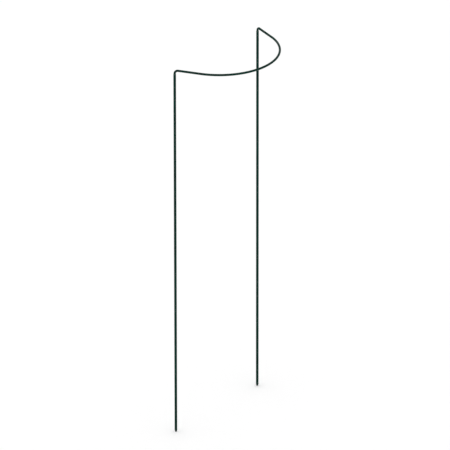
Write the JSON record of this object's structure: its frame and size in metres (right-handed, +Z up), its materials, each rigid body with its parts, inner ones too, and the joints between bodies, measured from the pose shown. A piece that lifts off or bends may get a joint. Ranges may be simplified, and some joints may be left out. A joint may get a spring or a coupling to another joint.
{
  "type": "plant support ring stake",
  "caption": "Slim garden plant support: a plastic-sheathed wire half ring whose bare prongs plug into tubular stakes with rounded foot tips.",
  "frame": {"origin": "middle of the footprint, level with the points of the feet", "axes": "+Z up along the stakes, +X from the left stake to the right one, -Y from the stakes towards the front of the half ring"},
  "size_m": [0.301, 0.1492, 0.9026],
  "materials": {
    "steel_wire": "drawn, bright zinc",
    "green_sheath": "satin extruded polyethylene",
    "steel_tube": "welded, zinc plated",
    "tip_plastic": "moulded, fine matt"
  },
  "bodies": {
    "stakes": {"left_stake_tube": "steel_tube", "left_stake_sheath": "green_sheath", "left_foot_tip": "tip_plastic", "right_stake_tube": "steel_tube", "right_stake_sheath": "green_sheath", "right_foot_tip": "tip_plastic"},
    "half_ring": {"half_ring_wire": "steel_wire", "half_ring_sheath": "green_sheath"}
  },
  "joints": [
    {"name": "half_ring_lift", "type": "slide", "parent": "stakes", "child": "half_ring", "axis": [0, 0, 1], "range_m": [0, 0.05]}
  ]
}
